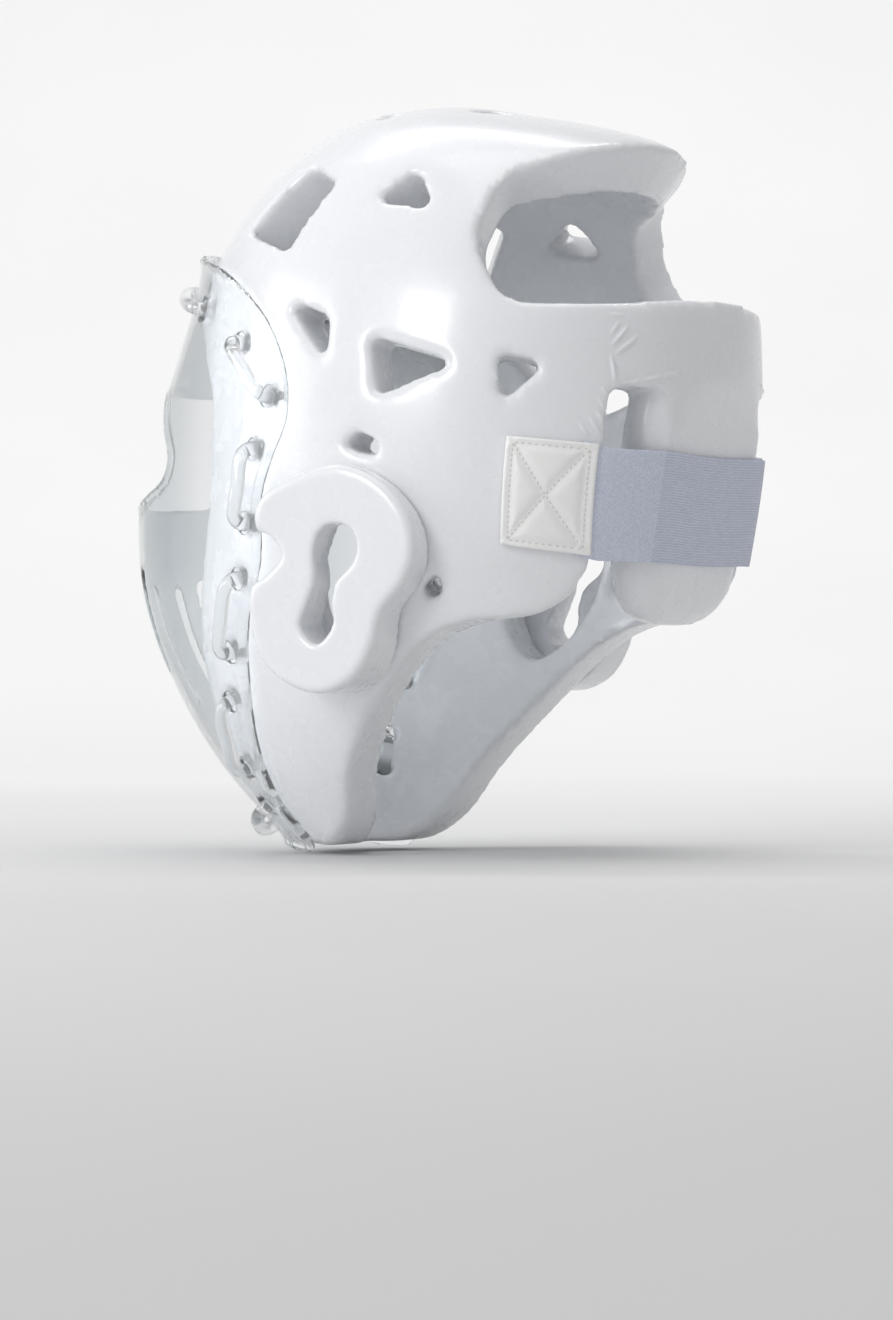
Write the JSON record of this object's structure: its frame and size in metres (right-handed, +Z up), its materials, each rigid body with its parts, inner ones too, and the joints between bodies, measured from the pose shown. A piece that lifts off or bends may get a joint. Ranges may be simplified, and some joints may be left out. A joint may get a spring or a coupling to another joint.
{
  "type": "karate headgear with face shield",
  "caption": "White dipped-foam sparring headgear with vents, ear guards, a padded back, a laced clear face shield and an elastic strap round the back of the head.",
  "frame": {"origin": "the point inside the crown that sits on top of the wearer's head", "axes": "+X to the wearer's left, -Y to the face, +Z up"},
  "size_m": [0.208, 0.2269, 0.2606],
  "materials": {
    "foam": "glossy white vinyl skin dipped over closed-cell foam",
    "shield": "clear, faintly grey-blue polycarbonate",
    "lace": "clear flexible tube",
    "elastic": "pale lavender-grey ribbed elastic webbing",
    "patch": "off-white leatherette with pale stitching"
  },
  "bodies": {
    "root": {"foam_shell": "foam", "ear_guard_left": "foam", "ear_guard_right": "foam", "face_shield": "shield", "mask_lace": "lace", "rear_strap": "elastic", "strap_patch_left": "patch", "strap_patch_right": "patch"}
  },
  "joints": []
}
